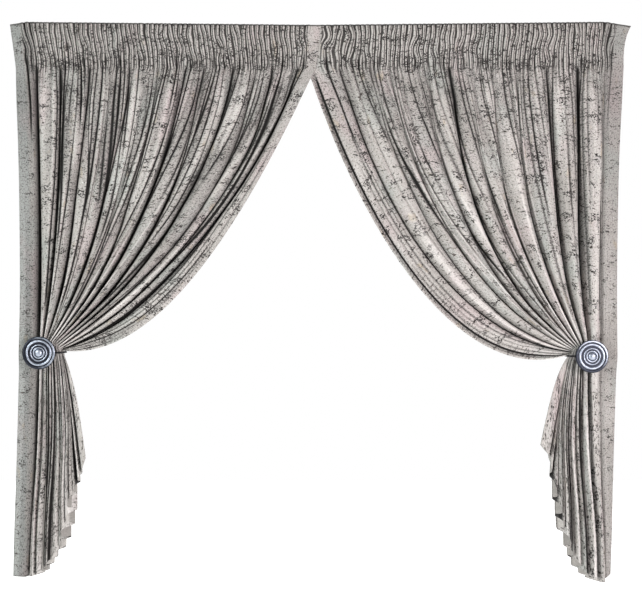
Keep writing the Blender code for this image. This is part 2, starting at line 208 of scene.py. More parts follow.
# What the cloth's material reads at each vertex: how open it lies to the room, as painted shade
# under 1 and painted highlight over 1, the count of pleats before it, how shut the pleats are and
# how much of the crackle it carries.
SHADE_AND_PATTERN_VALUES = ("height", "pleat", "gather", "marked")


def columns_of(rows, names):
    """A table's columns as arrays, by name."""
    return {name: np.array([row[i] for row in rows], float) for i, name in enumerate(names)}


def smooth(value, low, high):
    """0 at or under low, 1 at or over high, with a soft start and end."""
    part = np.clip((value - low) / (high - low), 0.0, 1.0)
    return part * part * (3.0 - 2.0 * part)


def hump(value, low, full, fading, gone):
    """0 at or under low, 1 from full to fading, and 0 again from gone on."""
    return smooth(value, low, full) * (1.0 - smooth(value, fading, gone))


def between(start, end, part):
    """start where part is 0, end where it is 1."""
    return start + (end - start) * part


def wander(across, along, seed):
    """Smooth random numbers from -1 to 1 over the cloth, one knot a unit each way."""
    knots = np.random.default_rng(seed).uniform(-1.0, 1.0, (128, 128))
    i = np.floor(across).astype(int)
    j = np.floor(along).astype(int)
    u = smooth(across - i, 0.0, 1.0)
    v = smooth(along - j, 0.0, 1.0)
    near = between(knots[i % 128, j % 128], knots[(i + 1) % 128, j % 128], u)
    far = between(knots[i % 128, (j + 1) % 128], knots[(i + 1) % 128, (j + 1) % 128], u)
    return between(near, far, v)


def lean_step(degrees):
    """The unit (x, z) step of a thread that leans degrees from straight down, towards -X."""
    angle = np.radians(degrees)
    return np.stack([-np.sin(angle), -np.cos(angle)], -1)


def sweep_curve(bend, start, end, pinch, part):
    """Where a thread is, part of the way from the foot of the heading to the holdback."""
    part = part[..., None]
    rest = 1.0 - part
    return (rest ** 3 * bend + 3 * rest * rest * part * start
            + 3 * rest * part * part * end + part ** 3 * pinch)


def hang(curtain, share, place):
    """Where the threads lie before the folds: (x, z) and the length used, for arrays that match."""
    table = columns_of(curtain["sweep"], SWEEP_COLUMNS)
    at = {name: np.interp(share, table["share"], column) for name, column in table.items()}
    top = np.stack([at["top_x"], np.zeros_like(share)], -1)
    bend = np.stack([at["head_x"], np.full_like(share, -HEADING)], -1)
    pinch = np.stack([at["pinch_x"], at["pinch_z"]], -1)
    span = np.linalg.norm(pinch - bend, axis=-1)
    start = bend + (at["reach"] * span)[..., None] * lean_step(at["lean"])
    end = pinch - (PINCH_HANDLE * span)[..., None] * lean_step(at["arrive"])

    path = np.array([sweep_curve(bend, start, end, pinch, np.full(share.shape, step))
                     for step in np.linspace(0.0, 1.0, LENGTH_STEPS + 1)])
    head_length = np.linalg.norm(bend - top, axis=-1)
    sweep_length = np.linalg.norm(np.diff(path, axis=0), axis=-1).sum(axis=0)
    tail_length = at["drop"] - head_length - sweep_length
    aside = at["hem_x"] - at["pinch_x"]
    fall = np.sqrt(np.maximum(tail_length ** 2 - aside ** 2, 0.0))
    hem = pinch + np.stack([aside, -fall], -1)
    handle = between(*curtain["handles"], smooth(share, 0.9, 1.0)) * tail_length
    knee = pinch + handle[..., None] * lean_step(at["leave"])

    in_head = np.clip(place + 1.0, 0.0, 1.0)
    in_sweep = np.clip(place, 0.0, 1.0)
    in_tail = np.clip(place - 1.0, 0.0, 1.0)
    inwards = 1.0 - (1.0 - in_head) ** curtain["flare"]
    head = np.stack([between(at["top_x"], at["head_x"], inwards), -HEADING * in_head], -1)
    sweep = sweep_curve(bend, start, end, pinch, in_sweep)
    part = in_tail[..., None]
    tail = (1.0 - part) ** 2 * pinch + 2 * (1.0 - part) * part * knee + part ** 2 * hem
    lower = np.where(place[..., None] < 1.0, sweep, tail)
    where = np.where(place[..., None] < 0.0, head, lower)
    return where, head_length * in_head + sweep_length * in_sweep + tail_length * in_tail


def valleys_at(curtain, place):
    """The shares of a row's fold bounds, and the depth and the slit of each."""
    table = columns_of(curtain["valleys"], VALLEY_COLUMNS)
    tracks = np.stack([table["high"], table["middle"], table["low"]])
    shares = [np.interp(place, VALLEY_ROWS, track) for track in tracks.T]
    low = float(smooth(place, VALLEY_ROWS[0], 1.0))
    depths = between(table["deep_high"], table["deep_low"], low)
    slits = 0.001 * between(table["slit_high"], table["slit_low"], low)
    return (np.array([0.0, *shares, 1.0]), np.array([0.0, *depths, 0.0]),
            np.array([0.0, *slits, 0.0]))


def pleat_columns():
    """Shares of the cloth's columns: the pleats' own, and those of the flat ends."""
    count = PLEATS * PLEAT_COLUMNS
    pleated = FLAT_END + (1.0 - 2 * FLAT_END) * np.arange(count + 1) / count
    end = FLAT_END * np.arange(FLAT_COLUMNS) / FLAT_COLUMNS
    return np.array([*end, *pleated, *(1.0 - end[::-1])])


def row_places():
    """The places of the cloth's rows, closer together at the heading, the pinch and the hem."""
    head = -1.0 + np.arange(HEADING_ROWS) / HEADING_ROWS
    part = np.arange(SWEEP_ROWS) / SWEEP_ROWS
    sweep = part - 0.55 * np.sin(math.tau * part) / math.tau
    part = np.arange(TAIL_ROWS + 1) / TAIL_ROWS
    tail = 1.0 + part - 0.35 * np.sin(math.tau * part) / math.tau
    return np.concatenate([head, sweep, tail])


def fold_widths(curtain, bounds, place):
    """How wide each fold of a row shows, what share of its cloth that is, and its swell."""
    marks, above, below = (hang(curtain, bounds, np.full_like(bounds, at))[0]
                           for at in (place, max(place - 0.01, -1.0), min(place + 0.01, 2.0)))
    down = below - above
    down /= np.linalg.norm(down, axis=-1)[:, None]
    step = np.diff(marks, axis=0)
    along = (down[1:] + down[:-1]) / 2
    pitch = np.abs(step[:, 0] * along[:, 1] - step[:, 1] * along[:, 0])
    flat = np.diff(bounds) * CUT_WIDTH
    seen = np.clip(pitch / flat, 0.0, 1.0)
    whole = flat.copy()
    whole[[0, -1]] /= 1.0 - EDGE_PHASE
    return pitch, seen, FOLD_FILL * whole * np.sqrt(1.0 - seen ** 2)


class Row:
    """One row of the hung cloth: one place down the threads, for every share across."""

    def __init__(self, curtain, share, place):
        self.curtain = curtain
        self.share = share
        self.place = place
        self.bounds, self.depths, self.slits = valleys_at(curtain, place)
        self.pitch, self.seen, self.swell = fold_widths(curtain, self.bounds, place)
        self.number = np.searchsorted(self.bounds[1:-1], share, side="right")
        self.first = self.number == 0
        self.last = self.number == len(self.swell) - 1
        self.width = np.diff(self.bounds)[self.number]
        self.part = (share - self.bounds[self.number]) / self.width
        self.hang_folds()
        self.shape_ridges()
        self.raise_folds()
        self.add_relief()

    def hang_folds(self):
        """Hang the cloth, drawn across its folds.

        It runs flat over a ridge and steep in a valley, so it crosses the ridge at its own width
        and the valley in a narrow slit.
        """
        down = np.full_like(self.share, self.place)
        self.used = hang(self.curtain, self.share, down)[1]
        self.grown = smooth(self.used, FOLD_START, FOLD_FULL)
        phase = np.where(self.last, (1.0 - EDGE_PHASE) * self.part, self.part)
        self.phase = np.where(self.first, between(EDGE_PHASE, 1.0, self.part), phase)
        drawn = np.clip(1.0 / np.maximum(self.seen, 0.05) - 1.0, 0.0, MOST_DRAWN)[self.number]
        wave = drawn * self.grown / math.tau
        self.across = self.phase - wave * np.sin(math.tau * self.phase)
        edge = EDGE_PHASE - wave * math.sin(math.tau * EDGE_PHASE)
        moved = np.where(self.last, self.across / (1.0 - edge), self.across)
        moved = np.where(self.first, (self.across - edge) / (1.0 - edge), moved)
        self.where = hang(self.curtain, self.bounds[self.number] + self.width * moved, down)[0]

    def shape_ridges(self):
        """How high each column lies on its ridge, 0 to 1, between the slits of the valleys."""
        open_low, most_low = self.curtain["gaps"]
        most = between(SLIT_MOST, most_low, smooth(self.place, 0.5, 0.7))
        most = between(most, SLIT_MOST_IN_TAIL, smooth(self.place, 0.93, 1.03))
        opened = between(SLIT_SHOWN, open_low, hump(self.place, 0.55, 0.80, 1.0, 1.1))
        pitch = np.maximum(self.pitch[self.number], 0.004)
        before = np.clip(opened * self.slits[self.number] / pitch, 0.0, most)
        after = np.clip(opened * self.slits[self.number + 1] / pitch, 0.0, most)
        self.inner = np.clip((self.across - before) / (1.0 - before - after), 0.0, 1.0)
        high, broad, steep = self.curtain["bluff"]
        bluff = between(high, broad, smooth(self.place, 0.1, 0.6))
        bluff = bluff + 1.6 * smooth(1.0 - self.seen[self.number], 0.5, 0.95)
        bluff = np.where(self.first | self.last, EDGE_BLUFF, bluff)
        aside = np.abs(2.0 * self.inner ** self.curtain["skew"] - 1.0)
        self.crown = (1.0 - aside ** bluff) ** steep

    def raise_folds(self):
        """How far each column stands out, within the room that the holdback leaves."""
        from_rod = np.abs(self.where[:, 1] - self.curtain["holdback_z"])
        room = WAIST * (1.0 - WAIST_ROUND * smooth(self.share, 0.70, 1.0))
        self.room = room + WAIST_GROWTH * np.maximum(0.0, from_rod - WAIST_HEIGHT)
        swell = self.swell * (1.0 - SHALLOW_TAIL * hump(self.place, 1.0, 1.15, 1.5, 1.9))
        early = self.phase < 0.5
        neighbour = np.clip(self.number + np.where(early, -1, 1), 0, len(swell) - 1)
        top = np.minimum(swell[self.number], self.room)
        bottom = np.minimum((swell[self.number] + swell[neighbour]) / 2, self.room)
        depth = np.where(early, self.depths[self.number], self.depths[self.number + 1])
        self.depth = np.where((self.first & early) | (self.last & ~early), 1.0, depth)
        grown = self.grown * between(0.62, 1.0, smooth(self.used, 0.4, 1.0))
        self.height = between(between(top, -bottom, self.depth), top, self.crown) * grown

    def add_relief(self):
        """The bands at both edges, and the creases, ribs, pleats and rolled edge."""
        share, used, place, inside = self.share, self.used, self.place, self.bounds[1:-1]
        self.after = smooth(share, inside[0], inside[0] + BAND_JOIN)
        self.banded = self.after * (1.0 - smooth(share, inside[-1] - BAND_JOIN, inside[-1]))
        aside = np.minimum(self.part, 1.0 - self.part) * self.width
        creased = creases(self.curtain, share, used, self.seen[self.number], place)
        creased = creased * (1.0 - (1.0 - self.after) * smooth(used, 0.3, 0.6))
        creased = creased * np.maximum(smooth(aside, 0.006, 0.016), smooth(place, 0.7, 0.9))
        creased = creased * (1.0 - (self.after - self.banded) * smooth(place, 0.95, 1.05))
        creased = creased * (1.0 - (1.0 - smooth(share, 0.16, 0.22)) * smooth(place, 0.8, 1.05))
        self.creased = creased * (1.0 - self.banded * hump(place, 0.78, 0.95, 1.03, 1.12))
        self.ribbed = ribs(self.curtain, share, used) * between(0.35, 1.0, self.banded)
        self.pleated, self.shut, self.turn, self.gathered = pleats(self.curtain, share, used)
        self.rolled = edge_roll(share, used, place)

    def points(self):
        """The (x, y, z) places of the row's columns."""
        squeezed = smooth(self.room, 0.6 * WAIST, 2.0 * WAIST)
        lean = math.tan(TAIL_LEAN) * smooth(self.place, 1.25, 1.9) * smooth(self.share, 0.03, 0.15)
        lean = lean * (1.0 - smooth(self.share, self.bounds[-2] - 0.04, self.bounds[-2]))
        creased = CREASE_DEPTH * between(0.35, 1.0, squeezed) * self.creased
        waves = undulation(self.curtain, self.share, self.used) - RIB_HEIGHT * self.ribbed
        back = self.pleated + self.curtain["rolled"] * self.rolled + creased + squeezed * waves
        x = self.where[:, 0] - self.curtain["side"] * lean * self.height
        z = self.where[:, 1] + top_edge_lift(self.where[:, 0], self.used)
        return np.stack([x, back - self.height, z], -1)

    def bared(self):
        """How little painted shade a column gets in a valley, a crease or a shut pleat."""
        sharp = between(1.4, self.curtain["shade"], smooth(self.place, 0.1, 0.5))
        sharp = between(sharp, self.curtain["low_shade"], smooth(self.place, 0.8, 0.95))
        sharp = sharp + 0.9 * hump(self.place, 0.85, 0.95, 1.1, 1.35)
        # Painted shade, darkest at the bottom of a deep valley.
        sunk = (1.0 - self.crown) ** sharp * self.depth
        sunk = sunk * smooth(self.used, HEADING - 0.03, HEADING + 0.02)
        sunk = sunk * (1.0 - 0.75 * smooth(self.place, 1.5, 1.92))
        lined = between(self.curtain["lined"], 1.8, smooth(self.place, 0.8, 1.1))
        lined = np.minimum(0.95, lined * self.creased)
        return (1.0 - sunk) * (1.0 - lined) * (1.0 - self.curtain["pleat_shade"] * self.shut)

    def painted_highlights(self, dim):
        """Painted highlights on the ribs, the lips of the ridges and the folds at the holdback."""
        pinched = hump(self.place, 0.82, 0.96, 1.05, 1.35)
        lip = np.exp(-((self.inner - 0.24) / 0.09) ** 2) * hump(self.place, 0.25, 0.6, 1.1, 1.5)
        return (between(0.35, 0.80, smooth(self.place, 0.75, 1.15)) * dim * self.ribbed ** 4
                + self.curtain["lit"] * pinched * self.crown ** 3 * self.after
                + self.curtain["lip"] * lip * (1.0 - pinched) * self.banded)

    def finish(self):
        """What the material reads at each column: painted shade and highlight, pleats and marks."""
        # Where the ribs take their painted shade and painted highlights.
        dim = smooth(self.used, HEADING, HEADING + 0.1) * between(0.3, 1.0, self.banded)
        dim = dim * (1.0 - 0.3 * smooth(self.place, 0.9, 1.05))
        # Painted shade in the hollows between the ribs.
        hollow = self.curtain["ribbing"] * dim * (1.0 - np.minimum(1.0, 1.6 * self.ribbed))
        bared = self.bared()
        # Painted shade: darker high up and on the outer band; the painted highlights go on top.
        height = bared * between(0.78, 1.0, smooth(self.used, 0.35, 0.95)) * (1.0 - hollow)
        height = height * between(0.60, 1.0, self.after) + bared * self.painted_highlights(dim)
        # Painted shade on the inner side of the outer band.
        inner_side = smooth(self.share, 0.19 * self.bounds[1], 0.25 * self.bounds[1])
        tucked = self.curtain["tucked"] * (1.0 - self.after) * inner_side
        height = height * (1.0 - tucked * smooth(self.place, 0.2, 0.8))
        # Painted shade in the strip of the rolled-back leading edge.
        if self.curtain["rolled"]:
            height = height * (1.0 - self.rolled * np.where(self.share < 0.9885, 0.95, 0.45))
        return {"height": height, "pleat": self.turn, "gather": self.gathered,
                "marked": between(0.55, 1.0, self.after)}


def creases(curtain, share, used, seen, place):
    """Narrow creases that run down from the pleats and join the folds' valleys: 0 to 1."""
    draw = np.random.default_rng(curtain["seed"])
    step = (np.arange(CREASES) + draw.uniform(0.1, 0.9, CREASES)) / CREASES
    first = 1.2 * FLAT_END + (1.0 - 2.4 * FLAT_END) * step
    deep = draw.uniform(0.25, 1.0, CREASES)
    lasting = np.arange(CREASES) % 5 == 2
    lasts = np.where(lasting, PAST_THE_HEM, draw.uniform(0.34, 1.3, CREASES))
    deep = np.where(lasting, np.maximum(deep, 0.7), deep)
    drift = draw.uniform(-0.020, 0.020, CREASES)
    width = CREASE_WIDTH * draw.uniform(0.7, 1.5, CREASES + len(BAND_CREASES))

    band_share, band_depth, band_start = np.array(BAND_CREASES).T
    first = np.append(first, band_share)
    deep = np.append(deep, band_depth)
    lasts = np.append(lasts, np.full_like(band_share, PAST_THE_HEM))
    begins = np.append(np.full(CREASES, CREASE_START), band_start)
    drift = np.append(drift, np.zeros_like(band_share))

    down = used[:, None]
    line_share = first + drift * smooth(down, 0.18, 1.0)
    fade = (1.0 - smooth(down, lasts - 0.25, lasts)) * np.clip((down - begins) / 0.06, 0.0, 1.0)
    widest = 2.6 + 1.4 * float(smooth(place, 1.02, 1.15))
    wider = np.clip(0.67 / np.maximum(seen, 0.05), 1.0, widest)[:, None]
    wider = np.where(np.arange(len(first)) < CREASES, wider, BAND_CREASE_WIDTH)
    line = np.exp(-np.abs((share[:, None] - line_share) / (width * wider)) ** 2.2)
    return np.clip((deep * fade * line).sum(axis=1), 0.0, 1.0)


def undulation(curtain, share, used):
    """Broad soft waves over the folds, in metres."""
    seed = curtain["seed"]
    broad = wander(share * 23.0, used * 0.8, seed + 1) * smooth(used, 0.20, 0.45)
    small = wander(share * 61.0, used * 1.7, seed + 4) * smooth(used, 0.18, 0.30)
    edges = smooth(np.minimum(share, 1.0 - share), 0.2 * FLAT_END, 1.6 * FLAT_END)
    return (0.0040 * broad + 0.0025 * small) * edges


def ribs(curtain, share, used):
    """Soft narrow crests along the threads with wider hollows between them: 0 to 1."""
    seed = curtain["seed"]
    stray = 0.8 * wander(share * 19.0, used * 1.3, seed + 5)
    apart = np.abs(wander(share * 47.0 + stray, used * 0.9 + 7.0, seed + 6))
    edges = smooth(np.minimum(share, 1.0 - share), 0.2 * FLAT_END, 1.2 * FLAT_END)
    return (1.0 - smooth(apart, 0.0, 0.42)) * edges * smooth(used, HEADING, HEADING + 0.12)


def edge_roll(share, used, place):
    """Where the leading edge is rolled back: a strip in painted shade inside a thin lip, 0 to 1."""
    strip = hump(share, 0.9840, 0.9860, 0.9930, 0.9975)
    return strip * smooth(used, 0.20, 0.27) * (1.0 - smooth(place, 0.97, 1.03))


def pleats(curtain, share, used):
    """How far back the pleats lie, how shut they are, the count of them and their reach."""
    seed = curtain["seed"]
    across = (share - FLAT_END) / (1.0 - 2 * FLAT_END)
    stray = 0.38 * wander(share * 38.0, used * 18.0, seed + 2)
    turn = PLEATS * across + stray - 0.6 * smooth(used, 0.03, 0.13)
    whole = np.abs(np.sin(math.pi * turn))
    halved = np.abs(np.sin(math.tau * turn + 0.7))
    split = between(0.32, 0.60, smooth(used, 0.105, 0.150))
    stands = between(whole ** 0.8, halved ** 0.8, split)
    fullness = 1.0 + 0.45 * wander(share * 60.0, used * 10.0, seed + 3)
    pleated = smooth(np.minimum(share, 1.0 - share), FLAT_END, 1.25 * FLAT_END)
    fade = 1.0 - smooth(used, HEADING - 0.015, HEADING + 0.08)
    relief = PLEAT_RELIEF * fullness * pleated * fade * (1.0 - 2.0 * stands)
    at_middle = smooth(share, 1.0 - 2.0 * FLAT_END, 1.0 - 1.3 * FLAT_END)
    relief = relief + curtain["band"] * at_middle * (1.0 - smooth(used, 0.30, 0.45))
    shut = np.maximum((1.0 - whole) ** 2.2 * 1.4, (1.0 - halved) ** 2.4 * 3.0 * split)
    reach = pleated * (1.0 - smooth(used, HEADING - 0.040, HEADING + 0.045))
    return relief, np.clip(shut * (0.45 + 0.55 * fullness), 0.0, 0.97) * reach, turn, reach


def top_edge_lift(x, used):
    """The top edge dips a little towards the middle and at the two outer corners."""
    lift = np.interp(np.abs(x), (0.0, 1.30, 1.42), (-0.0045, 0.009, -0.009))
    return lift * (1.0 - smooth(used, 0.0, HEADING))


def put_in_scene(name, data):
    """A new object with this data, in the scene."""
    thing = bpy.data.objects.new(name, data)
    bpy.context.scene.collection.objects.link(thing)
    return thing


def mesh_from(bm, name):
    mesh = bpy.data.meshes.new(name)
    bm.to_mesh(mesh)
    bm.free()
    return mesh


def stand_in(thing, node):
    """Put a piece in place of a CAD node: attach it to the root and hide the node."""
    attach(thing, "root")
    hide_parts(node)


def hung_mesh(name, curtain):
    """Cut one curtain flat, hang it in its folds and write down its painted shade and pattern
    values.
    """
    columns = pleat_columns()
    rows = [Row(curtain, columns, place) for place in row_places()]
    bm = bmesh.new()
    bmesh.ops.create_grid(bm, x_segments=len(columns) - 1, y_segments=len(rows) - 1, size=0.5)
    if curtain["side"] > 0:
        bmesh.ops.reverse_faces(bm, faces=bm.faces)
    mesh = mesh_from(bm, name)
    mesh.vertices.foreach_set("co", np.concatenate([row.points() for row in rows]).ravel())
    shade_and_pattern_rows = [row.finish() for row in rows]
    for value in SHADE_AND_PATTERN_VALUES:
        layer = mesh.attributes.new(value, "FLOAT", "POINT")
        layer.data.foreach_set("value", np.concatenate([finish[value] for finish in shade_and_pattern_rows]))
    lengths = np.concatenate([row.used for row in rows])
    shares = np.tile(columns, len(rows))
    flat = np.stack([curtain["cloth_from"] + CUT_WIDTH * shares, CUT_LENGTH - lengths], -1)
    corners = np.zeros(len(mesh.loops), np.int32)
    mesh.loops.foreach_get("vertex_index", corners)
    mesh.uv_layers.new(name="cloth").uv.foreach_set("vector", flat[corners].ravel())
    mesh.shade_smooth()
    return mesh


def make_panel(side, curtain, materials):
    """One curtain, with the thickness of its cloth and a material for each of its sides."""
    mesh = hung_mesh(f"{side}_curtain_sheet", curtain)
    for material in materials:
        mesh.materials.append(material)
    sheet = put_in_scene(f"{side}_curtain", mesh)
    wall = sheet.modifiers.new("cloth", "SOLIDIFY")
    wall.thickness = CLOTH
    wall.offset = 0.0
    wall.use_even_offset = False
    wall.material_offset = 1
    wall.material_offset_rim = 2
    depsgraph = bpy.context.evaluated_depsgraph_get()
    whole = bpy.data.meshes.new_from_object(sheet.evaluated_get(depsgraph), depsgraph=depsgraph,
                                            preserve_all_data_layers=True)
    sheet.modifiers.clear()
    sheet.data = whole
    lay_bake_map(whole, curtain["cloth_from"])
    return sheet


def lay_bake_map(mesh, cloth_from):
    """Give the face, the reverse and the cut edges places of their own in one square map."""
    cloth = mesh.uv_layers["cloth"].uv
    square = mesh.uv_layers.new(name="OFBake").uv
    edge_faces = [face for face in mesh.polygons if face.material_index == 2]
    step = 1.0 / len(edge_faces)
    for face in mesh.polygons:
        if face.material_index == 2:
            continue
        for loop in face.loop_indices:
            u, v = cloth[loop].vector
            across = 0.003 + 0.490 * (u - cloth_from) / CUT_WIDTH
            square[loop].vector = (across + 0.504 * face.material_index,
                                   0.003 + 0.980 * (v + 0.07) / (CUT_LENGTH + 0.08))
    for number, face in enumerate(edge_faces):
        corners = ((0.1, 0.990), (0.9, 0.990), (0.9, 0.998), (0.1, 0.998))
        for loop, (across, up) in zip(face.loop_indices, corners):
            square[loop].vector = ((number + across) * step, up)


# The steps a disc is turned in, the angle of its sharp edges, its face from its back, the radii
# between which one side of its rim takes painted shade, and the depth of its grooves.
DISC_STEPS = 128
SHARP_EDGE = math.radians(35)
DISC_FACE = 0.0165
DISC_RIM = (0.0590, 0.0660)
GROOVE_DEPTH = 0.0036
# The middle radius of each ring of a disc, half its width and how far it stands up.
DISC_RINGS = ((0.0532, 0.0055, 0.0054), (0.0352, 0.0034, 0.0052), (0.0230, 0.0036, 0.0036))


def spun(name, profile, centre, material):
    """Turn a profile of (radius, y) points, the ends on the axis, about the Y line at centre."""
    points = [(centre[0] + radius * math.cos(angle), y, centre[1] - radius * math.sin(angle))
              for radius, y in profile[1:-1]
              for angle in math.tau * np.arange(DISC_STEPS) / DISC_STEPS]
    back = len(points)
    rings = np.arange(back).reshape(-1, DISC_STEPS)
    turned = np.roll(rings, -1, axis=1)
    sides = np.stack([rings[:-1], rings[1:], turned[1:], turned[:-1]], -1).reshape(-1, 4)
    faces = [(back, *pair) for pair in zip(rings[0].tolist(), turned[0].tolist())]
    faces += sides.tolist()
    faces += [(back + 1, *pair) for pair in zip(turned[-1].tolist(), rings[-1].tolist())]
    points += [(centre[0], y, centre[1]) for _, y in (profile[0], profile[-1])]
    mesh = bpy.data.meshes.new(name)
    mesh.from_pydata(points, [], faces)
    mesh.attributes.new("height", "FLOAT", "POINT")
    mesh.shade_smooth()
    mesh.set_sharp_from_angle(angle=SHARP_EDGE)
    mesh.materials.append(material)
    return put_in_scene(name, mesh)


def shade_grooves(mesh, centre, face, shaded_rim_side):
    """Write how far each point of a disc stands out of its grooves; its rim has painted shade on
    one side.
    """
    values = mesh.attributes["height"].data
    for vert, value in zip(mesh.vertices, values):
        across = vert.co.x - centre[0]
        up = vert.co.z - centre[1]
        radius = math.hypot(across, up)
        # Painted shade on the outer rim, strongest on the side that the direction points to.
        turned = (across * shaded_rim_side[0] + up * shaded_rim_side[1]) / max(radius, 0.001)
        rim_shade = between(0.28, 1.0, 0.50 + 0.50 * turned) * float(smooth(radius, *DISC_RIM))
        value.value = min(1.0, max(0.0, (face - vert.co.y) / GROOVE_DEPTH)) - rim_shade


def arc(centre, width, lift, start, end, steps):
    """Points on an oval arc in (radius, y), with angles in degrees from the outward direction."""
    angles = np.radians(np.linspace(start, end, steps + 1))
    return [(centre[0] + width * math.cos(a), centre[1] + lift * math.sin(a)) for a in angles]


def disc_profile(back):
    """The turned disc: hub, dished back, round rim, stepped rings and the centre knob."""
    face = back - DISC_FACE
    points = [(0.0, back), (0.015, back), (0.016, back - 0.001), (0.019, back - 0.006),
              (0.060, back - 0.008),
              *arc((0.0675, back - 0.0130), 0.0058, 0.0058, 90, 0, 6),
              *arc((0.0675, back - 0.0145), 0.0060, 0.0060, 0, -90, 6),
              (0.0640, back - 0.0200), (0.0622, back - 0.0180), (0.0612, back - 0.0168)]
    for radius, half, lift in DISC_RINGS:
        points += [(radius + half + 0.0010, face), (radius + half, face),
                   *arc((radius, face), half, -lift, 12, 168, 8), (radius - half, face)]
    return points + [(0.0176, face), (0.0172, face - 0.0030),
                     *arc((0.0, face - 0.0030), 0.0170, -0.0100, 8, 82, 8),
                     (0.0, face - 0.0130)]


class Socket:
    """A node's output, with the sums that the finishes need."""

    def __init__(self, finish, link):
        self.finish = finish
        self.link = link

    def sum(self, operation, first, second=0.0):
        return self.finish.node("ShaderNodeMath", {0: first, 1: second}, operation=operation)

    def __add__(self, other):
        return self.sum("ADD", self, other)

    def __sub__(self, other):
        return self.sum("SUBTRACT", self, other)

    def __rsub__(self, other):
        return self.sum("SUBTRACT", other, self)

    def __mul__(self, other):
        return self.sum("MULTIPLY", self, other)

    __radd__ = __add__
    __rmul__ = __mul__

    def most(self, other):
        return self.sum("MAXIMUM", self, other)

    def beside(self, half):
        """How far the value is from the nearest multiple of twice the half."""
        return self.sum("PINGPONG", self, half)

    def far_from(self, other):
        return self.sum("ABSOLUTE", self - other)

    def ramp(self, low, high, start=0.0, end=1.0):
        """start at or under low, end at or over high, with a soft step between."""
        return self.finish.node("ShaderNodeMapRange", {0: self, 1: low, 2: high, 3: start, 4: end},
                                interpolation_type="SMOOTHSTEP")


class Finish:
    """A material and its nodes."""

    def __init__(self, name, **settings):
        self.material = bpy.data.materials.new(name)
        self.material.use_nodes = True
        self.nodes = self.material.node_tree.nodes
        self.links = self.material.node_tree.links
        self.surface = self.nodes["Principled BSDF"]
        self.colour = None
        self.put(self.surface, settings)

    def put(self, node, values):
        for key, value in values.items():
            if isinstance(value, Socket):
                self.links.new(value.link, node.inputs[key])
            elif isinstance(value, tuple):
                length = len(node.inputs[key].default_value)
                node.inputs[key].default_value = (*value, 1.0)[:length]
            else:
                node.inputs[key].default_value = value

    def node(self, kind, values=None, output=0, **settings):
        """Add a node, set its settings, then its sockets, and give the output asked for."""
        made = self.nodes.new(kind)
        for key, value in settings.items():
            setattr(made, key, value)
        self.put(made, values or {})
        return Socket(self, made.outputs[output])

    def axis(self, vector, number):
        return self.node("ShaderNodeSeparateXYZ", {0: vector}, output=number)

    def written(self, name):
        """A value that is written on the vertices."""
        return self.node("ShaderNodeAttribute", attribute_name=name, output="Fac")

    def scaled(self, vector, by, shift=(0.0, 0.0, 0.0)):
        return self.node("ShaderNodeVectorMath", {0: vector, 1: by, 2: shift},
                         operation="MULTIPLY_ADD")

    def noise(self, vector, scale, detail=2.0, rough=0.5, output=0):
        return self.node("ShaderNodeTexNoise", {"Vector": vector, "Scale": scale, "Detail": detail,
                                                "Roughness": rough}, output=output)

    def stretched(self, vector, by, shift=(0.0, 0.0, 0.0), detail=2.0, rough=0.5):
        """Noise with its own scale along each axis."""
        return self.noise(self.scaled(vector, by, shift), 1.0, detail, rough)

    def cells(self, vector, scale, feature):
        return self.node("ShaderNodeTexVoronoi", {"Vector": vector, "Scale": scale},
                         output="Distance", feature=feature, voronoi_dimensions="2D")

    def mix(self, part, colour, other):
        return self.node("ShaderNodeMix", {0: part, 6: colour, 7: other}, output=2,
                         data_type="RGBA")

    def lay(self, part, colour):
        """Lay a colour over those that are there, where part says."""
        self.colour = self.mix(part, self.colour, colour)

    def bump(self, height, strength, distance, under=None):
        values = {"Height": height, "Strength": strength, "Distance": distance}
        if under is not None:
            values["Normal"] = under
        return self.node("ShaderNodeBump", values)


# Patches of other colours in the cloth: how their noise is scaled and shifted, its detail, where
# they start and are full, how strong they are and their colour.
CASTS = (
    ((5.0, 3.0, 1.0), (11.0, 0.0, 0.0), 3.0, 0.52, 0.68, 0.55, (0.50, 0.420, 0.420)),
    ((5.0, 3.0, 1.0), (0.0, 17.0, 0.0), 3.0, 0.52, 0.68, 0.55, (0.395, 0.43, 0.405)),
    ((17.0, 9.0, 1.0), (5.0, 9.0, 0.0), 2.0, 0.64, 0.74, 0.5, (0.44, 0.36, 0.24)),
)
INK = (0.020, 0.017, 0.015)


def lay_tones(look, cloth, tone, nap):
    """Taupe grey, with a painted green tint of light at the outer edge, its casts, nap and mottle.
    """
    look.colour = look.mix(tone.ramp(0.35, 0.65), (0.40, 0.384, 0.362), (0.51, 0.493, 0.470))
    # Painted light: the green tint of the left lamp's light on the left curtain's outer edge.
    look.lay(look.axis(cloth, 0).ramp(0.045, 0.065, 0.8, 0.0), (0.415, 0.445, 0.435))
    for by, shift, detail, low, high, strength, cast in CASTS:
        look.lay(look.stretched(cloth, by, shift, detail).ramp(low, high, 0.0, strength), cast)
    look.lay(nap.ramp(0.25, 0.75, 0.0, 0.25), (0.15, 0.14, 0.13))
    mottle = look.noise(cloth, 150.0, 3.0, 0.7)
    look.lay(mottle.ramp(0.45, 0.60, 0.0, 0.38), (0.10, 0.095, 0.088))


